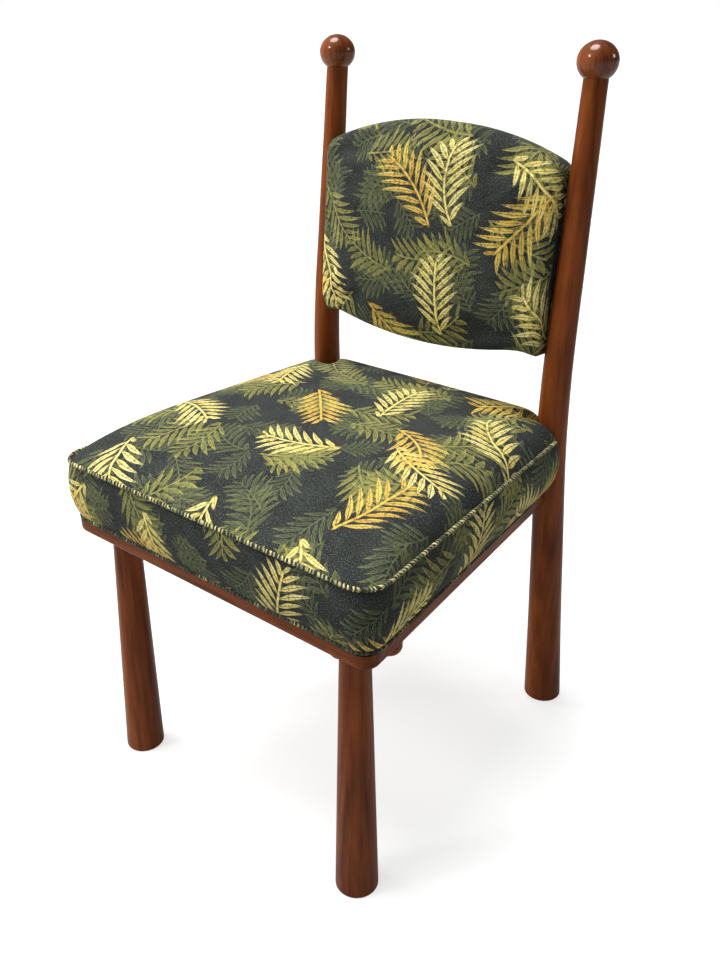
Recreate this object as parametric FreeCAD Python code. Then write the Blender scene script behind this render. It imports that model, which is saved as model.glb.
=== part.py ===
import FreeCAD, Part
import math
import os

V = FreeCAD.Vector

# Driving dimensions, in millimetres. X is across the chair, the sitter faces -Y, Z is up.

# Seat frame: four flat rails, wider in front than behind.
frame_underside = 364.5
frame_thickness = 20.0
frame_front_y = -264.0
frame_rear_y = 196.0
frame_front_half = 250.0
frame_rear_half = 204.0
frame_corner_radius = 18.0
frame_edge_radius = 7.0
rail_width = 62.0
tenon_thickness = 10.0
tenon_width = 40.0
tenon_length = 14.0

# Front legs: slender cones that widen to the floor and splay outward a little.
leg_inset_x = 52.5
leg_inset_y = 41.0
leg_splay_x = 7.5
leg_splay_y = 8.0
leg_foot_radius = 27.2
leg_head_radius = 17.8
leg_spigot_radius = 10.0
leg_spigot_length = 16.0
foot_edge_radius = 2.5

# Rear posts: one bent turning each, from the floor to the ball.
post_inset_x = 0.5
post_lean_x = 5.9
post_inset_y = 6.2
post_kick_y = 54.2
post_rake_y = 36.3
post_bend_z = 502.0
post_bend_reach = 112.0
post_shin_z = 150.0
post_seat_z = 490.0
post_top_z = 911.0
ball_radius = 24.6
ball_half_height = 23.0
ball_spigot_radius = 6.0
ball_spigot_length = 24.0
post_foot_radius = 28.0
post_shin_radius = 24.8
post_seat_radius = 20.2
post_top_radius = 14.9

# Corner cleats under the frame behind the front legs.
cleat_length = 84.0
cleat_width = 36.0
cleat_depth = 30.0
cleat_inset = 17.0
cleat_shift = 13.0
cleat_end_radius = 14.0
cleat_edge_radius = 12.0
cleat_screw_reach = 27.0
cleat_screw_sink = 14.0
cleat_screw_cover = 4.0
leg_screw_sink = 4.0
leg_screw_bite = 6.0

# Fixings.
screw_radius = 2.4
screw_head_radius = 4.6
screw_head_height = 3.0
bolt_radius = 4.0
bolt_head_radius = 8.0
bolt_head_height = 5.0
bolt_head_back = 14.0
bolt_reach = 56.0
nut_radius = 6.0
nut_length = 16.0
nut_reach = 48.0

# Seat: board, padded cushion and the cords of its seams.
board_thickness = 9.0
board_inset = 14.0
board_corner_radius = 12.0
seat_screw_reach = 90.0
seat_screw_sink = 0.5
seat_screw_cover = 2.0
cushion_front_overhang = 5.0
cushion_rear_overhang = 17.0
cushion_front_spread = 5.5
cushion_rear_spread = 11.0
cushion_corner_radius = 40.0
cushion_seam_z = 469.0
cushion_crown_z = 503.0
cushion_foot_inset = 2.0
cushion_foot_radius = 22.0
crown_span = 215.0
crown_fullness = 8
cord_radius = 3.2
lower_cord_rise = 4.5

# Back: board between the posts, padded in front, lined behind.
back_foot_z = 565.0
back_apex = 288.0
back_shoulder = 249.0
back_hip = 28.0
back_corner_radius = 22.0
core_thickness = 18.0
core_inset = 8.0
pad_reach = 43.0
pad_crown = 9.0
pad_edge_radius = 20.0
lining_thickness = 10.0
lining_inset = 1.0
lining_edge_radius = 4.0
dowel_radius = 5.0
dowel_in_core = 24.0
dowel_in_post = 14.0
dowel_low = 76.0
dowel_high = 206.0

# Clearances.
round_clearance = 0.3
hole_clearance = 0.3
soft_clearance = 0.6
hole_overrun = 1.0

# Derived values.
frame_top = frame_underside + frame_thickness
frame_middle = frame_underside + frame_thickness / 2
board_top = frame_top + board_thickness
side_slope = (frame_front_half - frame_rear_half) / (frame_rear_y - frame_front_y)
leg_head_x = frame_front_half - leg_inset_x
leg_head_y = frame_front_y + leg_inset_y
post_foot_x = frame_rear_half - post_inset_x
post_bend_y = frame_rear_y - post_inset_y
post_rake = post_rake_y / (post_top_z - post_bend_z)
post_kick = post_kick_y / post_bend_z
ball_rise = ball_half_height * math.sqrt(1 - (post_top_radius / ball_radius) ** 2)
diagonal = math.sqrt(0.5)
crown_rise = cushion_crown_z - cushion_seam_z
back_up = V(0, post_rake, 1).normalize()
back_front = V(0, -1, post_rake).normalize()
core_half = core_thickness / 2


def prism(points, low, high):
    """Upright prism over a closed polygon."""
    corners = [V(x, y, low) for x, y in points]
    face = Part.Face(Part.makePolygon(corners + corners[:1]))
    return face.extrude(V(0, 0, high - low))


def rounded_outline(corners, radius, z):
    """Closed level wire of lines and arcs through a polygon with rounded corners."""
    edges = []
    starts = []
    ends = []
    middles = []
    count = len(corners)
    for i in range(count):
        here = V(corners[i][0], corners[i][1], z)
        before = V(corners[i - 1][0], corners[i - 1][1], z)
        after = V(corners[(i + 1) % count][0], corners[(i + 1) % count][1], z)
        back = (before - here).normalize()
        ahead = (after - here).normalize()
        half = back.getAngle(ahead) / 2
        reach = radius / math.tan(half)
        inward = (back + ahead).normalize()
        starts.append(here + back * reach)
        ends.append(here + ahead * reach)
        middles.append(here + inward * (radius / math.sin(half) - radius))
    for i in range(count):
        edges.append(Part.Arc(starts[i], middles[i], ends[i]).toShape())
        edges.append(Part.LineSegment(ends[i], starts[(i + 1) % count]).toShape())
    return Part.Wire(edges)


def seat_plan(front_y, rear_y, front_half, rear_half):
    """Corners of a seat-shaped plan, wider in front."""
    return [(-front_half, front_y), (front_half, front_y), (rear_half, rear_y), (-rear_half, rear_y)]


def grown(plan, reach):
    """A seat-shaped plan with each side moved outward by a reach."""
    front_half, front_y = plan[1]
    rear_half, rear_y = plan[2]
    slope = (front_half - rear_half) / (rear_y - front_y)
    step = reach * math.hypot(1, slope)
    wide = front_half + step + slope * reach
    narrow = rear_half + step - slope * reach
    return seat_plan(front_y - reach, rear_y + reach, wide, narrow)


def between(low_plan, high_plan, t):
    """Plan part of the way from one plan to another."""
    mixed = []
    for low, high in zip(low_plan, high_plan):
        mixed.append((low[0] + (high[0] - low[0]) * t, low[1] + (high[1] - low[1]) * t))
    return mixed


def seat_slab(plan, radius, low, high):
    """Level slab over a plan with rounded corners."""
    return Part.Face(rounded_outline(plan, radius, low)).extrude(V(0, 0, high - low))


def mirrored(shape):
    """The same piece on the other side of the chair."""
    return shape.mirror(V(0, 0, 0), V(1, 0, 0))


def post_centre(z):
    """Centre of the right-hand post at a height: two straight runs and a bend between."""
    low = post_bend_z - post_bend_reach
    high = post_bend_z + post_bend_reach
    x = post_foot_x - post_lean_x * z / post_top_z
    if z < low:
        y = post_bend_y - post_kick * (z - post_bend_z)
    elif z > high:
        y = post_bend_y + post_rake * (z - post_bend_z)
    else:
        y = post_bend_y - post_kick * (z - post_bend_z)
        y += (post_rake + post_kick) * (z - low) ** 2 / (4 * post_bend_reach)
    return V(x, y, z)


def post_radius(z):
    """Radius of the post: a quick taper in the shin and a slow one above."""
    if z < post_shin_z:
        return post_foot_radius + (post_shin_radius - post_foot_radius) * z / post_shin_z
    if z < post_seat_z:
        t = (z - post_shin_z) / (post_seat_z - post_shin_z)
        return post_shin_radius + (post_seat_radius - post_shin_radius) * t
    t = (z - post_seat_z) / (post_top_z - post_seat_z)
    return post_seat_radius + (post_top_radius - post_seat_radius) * t


def post_blank(extra, stations):
    """Turned post through level circles; extra grows its radius."""
    rings = []
    for z in stations:
        ring = Part.makeCircle(post_radius(z) + extra, post_centre(z), V(0, 0, 1))
        rings.append(Part.Wire([ring]))
    return Part.makeLoft(rings, True, False)


def leg_centre(z):
    """Centre of the right-hand front leg at a height."""
    t = 1 - z / frame_underside
    return V(leg_head_x + leg_splay_x * t, leg_head_y - leg_splay_y * t, z)


def leg_blank(extra):
    """Turned front leg on its leaning axis, cut level at both ends; extra grows its radius."""
    foot = leg_centre(-leg_foot_radius)
    head = leg_centre(frame_underside + leg_foot_radius)
    ease = (leg_foot_radius - leg_head_radius) * leg_foot_radius / frame_underside
    low = leg_foot_radius + ease + extra
    high = leg_head_radius - ease + extra
    cone = Part.makeCone(low, high, (head - foot).Length, foot, head - foot)
    side = 4 * leg_foot_radius
    corner = leg_centre(0) - V(side / 2, side / 2, 0)
    return cone.common(Part.makeBox(side, side, frame_underside, corner))


def rounded_foot(solid):
    """Break the edge that stands on the floor."""
    edges = [e for e in solid.Edges if e.BoundBox.ZMax < 0.01]
    return solid.makeFillet(foot_edge_radius, edges)


def screw(tip, head, clearance=0.0):
    """Flat-headed screw from its head to its tip."""
    axis = (tip - head).normalize()
    shank = Part.makeCylinder(screw_radius + clearance, (tip - head).Length, head, axis)
    wide = screw_head_radius + clearance
    cone = Part.makeCone(wide, screw_radius + clearance, screw_head_height, head, axis)
    return shank.fuse(cone).removeSplitter()


def recess(head, axis, depth):
    """Round sinking in front of a screw head."""
    return Part.makeCylinder(screw_head_radius + hole_clearance, depth, head, axis)


def back_point(x, up, forward):
    """Point in the leaning plane of the back."""
    foot = post_centre(back_foot_z)
    return V(x, foot.y, back_foot_z) + back_up * up + back_front * forward


# The back fits between the posts, which are closest together at its foot.
back_half = post_centre(back_foot_z).x - post_radius(back_foot_z) - soft_clearance


def back_slab(inset, rear, front, radius):
    """Arched plate of the back between two distances from the plane of the posts."""
    half = back_half - inset
    shoulder = back_shoulder - inset
    apex = back_apex - inset
    hip = back_hip + inset
    low = inset
    left_low = back_point(-half, hip, rear)
    right_low = back_point(half, hip, rear)
    left_high = back_point(-half, shoulder, rear)
    right_high = back_point(half, shoulder, rear)
    bottom = Part.Arc(left_low, back_point(0, low, rear), right_low).toShape()
    right = Part.LineSegment(right_low, right_high).toShape()
    top = Part.Arc(right_high, back_point(0, apex, rear), left_high).toShape()
    left = Part.LineSegment(left_high, left_low).toShape()
    plate = Part.Face(Part.Wire([bottom, right, top, left])).extrude(back_front * (front - rear))
    corners = []
    for edge in plate.Edges:
        along = edge.Vertexes[1].Point - edge.Vertexes[0].Point
        if abs(along.normalize().dot(back_front)) > 0.99:
            corners.append(edge)
    return plate.makeFillet(radius, corners)


def crowned(plate, face_at, crown, edge_radius):
    """Swell the front of a plate to a shallow dome and round its rim."""
    span = math.hypot(back_half, back_apex / 2)
    sphere_radius = (span ** 2 + crown ** 2) / (2 * crown)
    summit = back_point(0, back_apex / 2, face_at)
    dome = Part.makeSphere(sphere_radius, summit - back_front * sphere_radius)
    body = plate.common(dome)
    dome_faces = [f for f in body.Faces if isinstance(f.Surface, Part.Sphere)]
    return body.makeFillet(edge_radius, dome_faces[0].OuterWire.Edges)


# Posts and legs.
post_steps = 14
post_stations = [post_top_z * i / post_steps for i in range(post_steps + 1)]
post_right = rounded_foot(post_blank(0.0, post_stations))
post_room = post_blank(round_clearance, post_stations)
post_soft_room = post_blank(soft_clearance, post_stations)

leg_right = rounded_foot(leg_blank(0.0))
leg_room = leg_blank(round_clearance)
leg_spigot = Part.makeCylinder(leg_spigot_radius, leg_spigot_length, leg_centre(frame_underside))
leg_right = leg_right.fuse(leg_spigot)

# Finial: a slightly flattened ball, with a spigot that enters the top of the post.
post_top = post_centre(post_top_z)
ball_centre = post_top + V(0, 0, ball_rise)
flatten = FreeCAD.Matrix()
flatten.scale(1, 1, ball_half_height / ball_radius)
finial_right = Part.makeSphere(ball_radius).transformGeometry(flatten)
finial_right.translate(ball_centre)
below = 2 * ball_radius
under_ball = Part.makeBox(2 * below, 2 * below, below, post_top - V(below, below, below))
finial_right = finial_right.cut(under_ball)
finial_spigot = Part.makeCylinder(ball_spigot_radius, ball_spigot_length, post_top, V(0, 0, -1))
finial_right = finial_right.fuse(finial_spigot)
ball_hole_depth = ball_spigot_length + hole_overrun
ball_hole = Part.makeCylinder(ball_spigot_radius, ball_hole_depth, post_top, V(0, 0, -1))
post_right = post_right.cut(ball_hole)

# Frame blank with rounded corners and a rounded lower edge.
frame_plan = seat_plan(frame_front_y, frame_rear_y, frame_front_half, frame_rear_half)
frame_blank = seat_slab(frame_plan, frame_corner_radius, frame_underside, frame_top)
lower_edges = [e for e in frame_blank.Edges if e.BoundBox.ZMax < frame_underside + 0.01]
frame_blank = frame_blank.makeFillet(frame_edge_radius, lower_edges)

# Strips of the four rails. The front corners are half laps, front rail above.
far = 2 * frame_front_half
front_inner = frame_front_y + rail_width
rear_inner = frame_rear_y - rail_width
side_step = rail_width * math.hypot(1, side_slope)


def side_inner(y):
    """Inner edge of the right-hand side rail."""
    return frame_front_half - side_slope * (y - frame_front_y) - side_step


front_area = [(-far, -far), (far, -far), (far, front_inner), (-far, front_inner)]
side_area = [(side_inner(-far), -far), (far, -far), (far, far), (side_inner(far), far)]
front_strip = frame_blank.common(prism(front_area, 0, far * 2))
side_strip = frame_blank.common(prism(side_area, 0, far * 2))
lap = [(side_inner(-far), -far), (far, -far), (far, front_inner), (side_inner(front_inner), front_inner)]
lap_low = prism(lap, 0, frame_middle)
lap_high = prism(lap, frame_middle, far * 2)
front_rail = front_strip.cut(lap_low).cut(mirrored(lap_low))
side_right = side_strip.cut(lap_high)

# Rear rail between the side rails, with a stub tenon in each.
rear_strip = [
    (-side_inner(rear_inner), rear_inner),
    (side_inner(rear_inner), rear_inner),
    (side_inner(frame_rear_y), frame_rear_y),
    (-side_inner(frame_rear_y), frame_rear_y),
]
rear_rail = frame_blank.common(prism(rear_strip, 0, far * 2))
tenon_low = frame_middle - tenon_thickness / 2
tenon_y = (rear_inner + frame_rear_y - tenon_width) / 2
tenon_reach = side_inner(tenon_y + tenon_width) + tenon_length
tenon = Part.makeBox(2 * tenon_reach, tenon_width, tenon_thickness, V(-tenon_reach, tenon_y, tenon_low))
side_right = side_right.cut(tenon)
rear_rail = rear_rail.fuse(tenon).removeSplitter()

# The side rail is hollowed to the round of the post and bored for the leg's spigot.
side_right = side_right.cut(post_room)
spigot_depth = leg_spigot_length + hole_clearance
spigot_bore = Part.makeCylinder(leg_spigot_radius, spigot_depth, leg_centre(frame_underside))
side_right = side_right.cut(spigot_bore)
front_rail = front_rail.cut(spigot_bore).cut(mirrored(spigot_bore))

# Bolt from the back of each post into a cross nut in the side rail.
bolt_line = V(-diagonal, -diagonal, 0)
bolt_middle = post_centre(frame_middle)
bolt_seat = bolt_middle - bolt_line * bolt_head_back
bolt_length = bolt_head_back + bolt_reach
bolt_right = Part.makeCylinder(bolt_radius, bolt_length, bolt_seat, bolt_line)
bolt_head = Part.makeCylinder(bolt_head_radius, bolt_head_height, bolt_seat, bolt_line * -1)
bolt_right = bolt_right.fuse(bolt_head).removeSplitter()
bolt_bore = Part.makeCylinder(bolt_radius + hole_clearance, bolt_length + hole_overrun, bolt_seat, bolt_line)
head_bore_radius = bolt_head_radius + hole_clearance
head_bore = Part.makeCylinder(head_bore_radius, 2 * post_shin_radius, bolt_seat, bolt_line * -1)
post_right = post_right.cut(bolt_bore).cut(head_bore)
nut_foot = bolt_middle + bolt_line * nut_reach
nut_foot.z = frame_middle - nut_length / 2
nut_right = Part.makeCylinder(nut_radius, nut_length, nut_foot)
nut_pocket_height = nut_foot.z + nut_length - frame_underside + hole_clearance
nut_pocket_foot = V(nut_foot.x, nut_foot.y, frame_underside)
nut_pocket = Part.makeCylinder(nut_radius + hole_clearance, nut_pocket_height, nut_pocket_foot)
side_right = side_right.cut(bolt_bore).cut(nut_pocket)
nut_right = nut_right.cut(Part.makeCylinder(bolt_radius, bolt_length, bolt_seat, bolt_line))

# Corner cleat: a rounded block across the corner, hollowed to the leg and screwed to it.
inward = V(-diagonal, diagonal, 0)
across = V(diagonal, diagonal, 0)
cleat_level = frame_underside - cleat_depth / 2
cleat_leg = leg_centre(cleat_level)
cleat_centre = cleat_leg + inward * cleat_inset + across * cleat_shift
cleat_right = Part.makeBox(cleat_length, cleat_width, cleat_depth)
upright = [e for e in cleat_right.Edges if e.BoundBox.ZLength > 1]
cleat_right = cleat_right.makeFillet(cleat_end_radius, upright)
cleat_rim = [e for e in cleat_right.Edges if e.BoundBox.ZMax < 0.01]
cleat_right = cleat_right.makeFillet(cleat_edge_radius, cleat_rim)
cleat_right.translate(V(-cleat_length / 2, -cleat_width / 2, -cleat_depth / 2))
cleat_right.rotate(V(0, 0, 0), V(0, 0, 1), 45)
cleat_right.translate(cleat_centre)
cleat_right = cleat_right.cut(leg_room)

cleat_screws = []
for step in (-cleat_screw_reach, cleat_screw_reach):
    head = cleat_centre + across * step
    head.z = frame_underside - cleat_depth + cleat_screw_sink
    tip = V(head.x, head.y, frame_top - cleat_screw_cover)
    cleat_screws.append(screw(tip, head))
    room = screw(tip, head, hole_clearance).fuse(recess(head, V(0, 0, -1), cleat_depth))
    cleat_right = cleat_right.cut(room)
    side_right = side_right.cut(room)
    front_rail = front_rail.cut(room).cut(mirrored(room))
leg_screw_head = cleat_leg + inward * (cleat_inset + cleat_width / 2 - leg_screw_sink)
leg_screw_tip = cleat_leg - inward * leg_screw_bite
cleat_screws.append(screw(leg_screw_tip, leg_screw_head))
leg_recess = recess(leg_screw_head, inward, cleat_width)
room = screw(leg_screw_tip, leg_screw_head, hole_clearance).fuse(leg_recess)
cleat_right = cleat_right.cut(room)
leg_right = leg_right.cut(room)
cleat_screws_right = Part.Compound(cleat_screws)

# Seat board, screwed from below through the rails.
board_plan = grown(frame_plan, -board_inset)
seat_board = seat_slab(board_plan, board_corner_radius, frame_top, board_top)
seat_screw_list = []
front_screw_y = frame_front_y + rail_width / 2
rear_screw_y = rear_inner + rail_width / 4
for y in (front_screw_y, rear_screw_y):
    for x in (-seat_screw_reach, seat_screw_reach):
        head = V(x, y, frame_underside + seat_screw_sink)
        tip = V(x, y, board_top - seat_screw_cover)
        seat_screw_list.append(screw(tip, head))
        room = screw(tip, head, hole_clearance).fuse(recess(head, V(0, 0, -1), frame_thickness))
        seat_board = seat_board.cut(room)
        front_rail = front_rail.cut(room)
        rear_rail = rear_rail.cut(room)
seat_screws = Part.Compound(seat_screw_list)

# Cushion: drawn-in sides below the upper seam, a full crown above it.
seam_plan = seat_plan(
    frame_front_y - cushion_front_overhang,
    frame_rear_y + cushion_rear_overhang,
    frame_front_half + cushion_front_spread,
    frame_rear_half + cushion_rear_spread,
)
foot_plan = grown(frame_plan, -cushion_foot_inset)


def side_outline(t, z):
    """Outline of the cushion's side, from its foot at 0 to its upper seam at 1."""
    radius = cushion_foot_radius + (cushion_corner_radius - cushion_foot_radius) * t
    return rounded_outline(between(foot_plan, seam_plan, t), radius, z)


def cord(path):
    """Round cord sewn along a seam of the cushion."""
    first = path.Edges[0]
    ahead = first.tangentAt(first.FirstParameter)
    ring = Part.makeCircle(cord_radius, first.firstVertex().Point, ahead)
    return path.makePipeShell([Part.Wire([ring])], True, False)


side_rings = []
for t, rise in ((0, 0), (0.4, 0.3), (0.78, 0.65), (1, 1)):
    side_rings.append(side_outline(t, frame_top + rise * (cushion_seam_z - frame_top)))
crown_rings = []
for share in (0, 0.055, 0.14, 0.26, 0.42, 0.6, 0.8):
    inset = share * crown_span
    rise = 1 - (1 - share) ** crown_fullness
    radius = cushion_corner_radius * (1 - share / 2)
    crown_rings.append(rounded_outline(grown(seam_plan, -inset), radius, cushion_seam_z + rise * crown_rise))
cushion = Part.makeLoft(side_rings, True, False)
cushion = cushion.fuse(Part.makeLoft(crown_rings, True, False))
upper_cord = cord(side_outline(1, cushion_seam_z))
lower_cord = cord(rounded_outline(frame_plan, frame_corner_radius, frame_top + lower_cord_rise))
cushion = cushion.fuse(upper_cord).fuse(lower_cord)
cushion = cushion.cut(seat_board)
cushion = cushion.cut(post_soft_room).cut(mirrored(post_soft_room))
cushion = max(cushion.Solids, key=lambda solid: solid.Volume)

# Back: board, padded front that wraps its edges, thin lining behind.
back_core = back_slab(core_inset, -core_half, core_half, back_corner_radius - core_inset)
pad_face = pad_reach + pad_crown
pad_plate = back_slab(0.0, -core_half, pad_face + pad_crown, back_corner_radius)
back_pad = crowned(pad_plate, pad_face, pad_crown, pad_edge_radius).cut(back_core)
lining_rear = -core_half - lining_thickness
lining_plate = back_slab(lining_inset, lining_rear, -core_half, back_corner_radius - lining_inset)
lining_rim = []
for edge in lining_plate.Edges:
    if abs((edge.CenterOfMass - back_point(0, 0, lining_rear)).dot(back_front)) < 0.01:
        lining_rim.append(edge)
back_lining = lining_plate.makeFillet(lining_edge_radius, lining_rim)

# Dowels between the posts and the back board.
dowels = []
for up in (dowel_low, dowel_high):
    level = back_point(0, up, 0)
    inner = V(back_half - core_inset - dowel_in_core, level.y, level.z)
    outer = post_centre(level.z).x - post_radius(level.z) + dowel_in_post
    reach = outer - inner.x
    dowel = Part.makeCylinder(dowel_radius, reach, inner, V(1, 0, 0))
    dowels.append(dowel)
    back_core = back_core.cut(dowel).cut(mirrored(dowel))
    sleeve = Part.makeCylinder(dowel_radius + hole_clearance, reach, inner, V(1, 0, 0))
    back_pad = back_pad.cut(sleeve).cut(mirrored(sleeve))
    post_right = post_right.cut(dowel)
dowels_right = Part.Compound(dowels)

pieces = {
    "front_rail": front_rail,
    "rear_rail": rear_rail,
    "seat_board": seat_board,
    "seat_screws": seat_screws,
    "seat_cushion": cushion,
    "back_core": back_core,
    "back_pad": back_pad,
    "back_lining": back_lining,
}
handed = {
    "rear_post": post_right,
    "finial": finial_right,
    "front_leg": leg_right,
    "side_rail": side_right,
    "corner_cleat": cleat_right,
    "cleat_screws": cleat_screws_right,
    "post_bolt": bolt_right,
    "cross_nut": nut_right,
    "back_dowels": dowels_right,
}
# Left and right are the sitter's, who faces -Y, so the sitter's left is +X.
for name, shape in handed.items():
    pieces[name + "_left"] = shape
    pieces[name + "_right"] = mirrored(shape)

os.makedirs("parts", exist_ok=True)
for name, shape in pieces.items():
    shape.exportStep("parts/" + name + ".step")
    print(name, shape.ShapeType, len(shape.Solids), shape.isValid(), round(shape.Volume / 1000, 1))
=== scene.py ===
import math
from functools import partial

import bmesh
import bpy
from bpy.props import FloatProperty, FloatVectorProperty, IntProperty, PointerProperty
from mathutils import Matrix, Vector


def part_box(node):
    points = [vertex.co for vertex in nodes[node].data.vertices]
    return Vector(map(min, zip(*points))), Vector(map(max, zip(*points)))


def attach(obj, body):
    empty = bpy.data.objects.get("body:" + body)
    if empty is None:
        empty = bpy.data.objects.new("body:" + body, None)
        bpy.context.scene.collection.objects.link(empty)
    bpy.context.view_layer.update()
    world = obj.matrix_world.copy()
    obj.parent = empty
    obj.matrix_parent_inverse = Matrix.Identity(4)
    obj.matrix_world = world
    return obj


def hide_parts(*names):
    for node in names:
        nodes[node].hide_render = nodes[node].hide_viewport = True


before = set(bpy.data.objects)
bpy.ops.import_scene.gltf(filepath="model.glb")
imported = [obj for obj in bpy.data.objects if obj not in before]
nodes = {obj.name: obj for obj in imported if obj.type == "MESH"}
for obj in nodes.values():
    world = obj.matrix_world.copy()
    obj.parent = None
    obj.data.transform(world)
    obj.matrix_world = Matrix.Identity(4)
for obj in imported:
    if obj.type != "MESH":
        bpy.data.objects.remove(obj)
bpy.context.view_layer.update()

bl_info = {
    "name": "Ball-post restaurant chair",
    "version": (1, 0, 0),
    "blender": (4, 5, 0),
    "location": "View3D > Sidebar > Chair",
    "description": "Lacquers the wood, covers the seat and back in printed cloth and sets the studio",
    "category": "Object",
}


def length(name, description, default):
    """A size that a user would change, in metres."""
    return FloatProperty(name=name, description=description, default=default, unit="LENGTH", precision=4)


def share(name, description, default):
    """A proportion from nothing to all."""
    return FloatProperty(name=name, description=description, default=default, min=0, max=1, subtype="FACTOR")


def fullness(name, description, default):
    """The power of a swelling form, which is squarer the larger it is."""
    return FloatProperty(name=name, description=description, default=default, min=1)


def cells(name, description, default):
    """The fineness of a panel."""
    return IntProperty(name=name, description=description, default=default, min=16)


def colour(name, description, default):
    """A colour of a finish, in linear light."""
    return FloatVectorProperty(
        name=name, description=description, default=default, size=3, min=0, max=1, subtype="COLOR"
    )


class SeatSizes(bpy.types.PropertyGroup):
    """Sizes of the seat cushion and its cords."""

    seam_front: length("Seam front", "Distance of the upper seam in front of the middle", 0.269)
    seam_rear: length("Seam rear", "Distance of the upper seam behind the middle", 0.213)
    seam_front_half: length("Seam front half", "Half the width of the upper seam in front", 0.2555)
    seam_rear_half: length("Seam rear half", "Half the width of the upper seam behind", 0.215)
    seam_radius: length("Seam corner", "Corner radius of the upper seam", 0.030)
    seam_height: length("Seam height", "Height of the upper seam above the floor", 0.469)
    foot_inset: length("Foot inset", "Inset of the cushion's foot from the edge of the frame", 0.002)
    foot_radius: length("Foot corner", "Corner radius of the cushion's foot", 0.022)
    crown: length("Crown", "Rise of the crown above the upper seam", 0.036)
    crown_fullness: fullness("Crown fullness", "Steepness of the crown at its side and rear seams", 15.0)
    front_fullness: fullness("Front fullness", "Steepness of the crown at its front seam", 4.0)
    top_roll: length("Top roll", "How far the top stands out over its seam", 0.004)
    cord_radius: length("Cord", "Radius of the cords sewn in the seams", 0.0027)
    boxing_fullness: fullness("Boxing fullness", "How soon the sides swell out above the frame", 4.0)
    boxing_bulge: length("Boxing bulge", "How far the sides stand out between their seams", 0.005)
    post_gap: length("Post gap", "Room between the cover and the posts", 0.0008)
    swell_limit: length("Swell limit", "Furthest that the filling moves the cover", 0.007)
    panel_cells: cells("Panel cells", "Cells along one side of the top", 80)


class BackSizes(bpy.types.PropertyGroup):
    """Sizes of the padded back and its rear panel."""

    rim_radius: length("Rim", "Rounding of the front rim", 0.013)
    crown: length("Crown", "Rise of the padded front above its rim", 0.009)
    side_bulge: length("Side bulge", "How far the padded front stands out in front of the posts", 0.0025)
    swell_limit: length("Swell limit", "Furthest that the filling moves the cover", 0.007)
    ear_drop: length("Ear drop", "How far the folded lower corners hang", 0.013)
    ear_fill: share("Ear fill", "How squarely the lower corners are filled", 0.38)
    ear_reach: length("Ear reach", "Width of the folded lower corners", 0.024)
    tuck_depth: length("Tuck depth", "Depth of the small tucks in the lower corners", 0.0016)
    tuck_pitch: length("Tuck pitch", "Distance between the tucks", 0.010)
    panel_crown: length("Rear crown", "Rise of the rear panel", 0.003)
    panel_cells: cells("Panel cells", "Cells along one side of the front", 64)


class Finishes(bpy.types.PropertyGroup):
    """Colours of the wood, the fixings and the printed cloth."""

    wood_light: colour("Wood light", "Lit grain of the lacquered wood", (0.225, 0.056, 0.0115))
    wood_dark: colour("Wood dark", "Dark grain of the lacquered wood", (0.062, 0.0145, 0.0036))
    birch_light: colour("Birch light", "Lit grain of the bare plywood", (0.62, 0.45, 0.27))
    birch_dark: colour("Birch dark", "Dark grain of the bare plywood", (0.48, 0.32, 0.17))
    steel_light: colour("Steel light", "Worn places of the screws and bolts", (0.27, 0.24, 0.20))
    steel_dark: colour("Steel dark", "Dull places of the screws and bolts", (0.17, 0.15, 0.12))
    ground: colour("Ground", "Ground of the cloth", (0.0195, 0.0222, 0.0212))
    # Painted glint: pale flecks of this colour stand in for light on the tips of the pile.
    pile: colour("Pile glint", "Lit tips of the cloth's pile", (0.15, 0.16, 0.135))
    dim: colour("Dim", "Farthest sprigs of the print", (0.076, 0.086, 0.040))
    dim_light: colour("Dim light", "Lit strokes of the farthest sprigs", (0.145, 0.160, 0.064))
    olive: colour("Olive", "Shaded sprigs of the print", (0.150, 0.158, 0.052))
    olive_light: colour("Olive light", "Lit strokes of the shaded sprigs", (0.34, 0.31, 0.075))
    yellow: colour("Yellow", "Bright sprigs of the print", (0.68, 0.53, 0.115))
    gold: colour("Gold", "Warm sprigs of the print", (0.60, 0.32, 0.045))
    cream: colour("Cream", "Palest strokes of the print", (0.78, 0.69, 0.29))
    dash: colour("Dash", "Dull dashes of the cords", (0.22, 0.23, 0.11))


SIDES = ("left", "right")
ARC_STEPS = 24
STRAIGHT_STEP = 0.003
NEARLY = 1e-6
EXACTLY = 1e-7


def flat(x, y):
    """A point in a plan."""
    return Vector((x, y))


def rounded_loop(corners, radius):
    """Closed outline with rounded corners, and the places on it of the middles of the corners."""
    arcs = []
    count = len(corners)
    for i, here in enumerate(corners):
        back = (corners[i - 1] - here).normalized()
        ahead = (corners[(i + 1) % count] - here).normalized()
        half = back.angle(ahead) / 2
        centre = here + (back + ahead).normalized() * (radius / math.sin(half))
        first = here + back * (radius / math.tan(half)) - centre
        turn = math.pi - 2 * half
        arcs.append([centre + Matrix.Rotation(turn * k / ARC_STEPS, 2) @ first for k in range(ARC_STEPS + 1)])
    points = []
    middles = []
    for arc, following in zip(arcs, arcs[1:] + arcs[:1]):
        middles.append(len(points) + ARC_STEPS // 2)
        points += arc
        straight = following[0] - arc[-1]
        steps = max(1, round(straight.length / STRAIGHT_STEP))
        points += [arc[-1] + straight * (k / steps) for k in range(1, steps)]
    return points, middles


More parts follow.
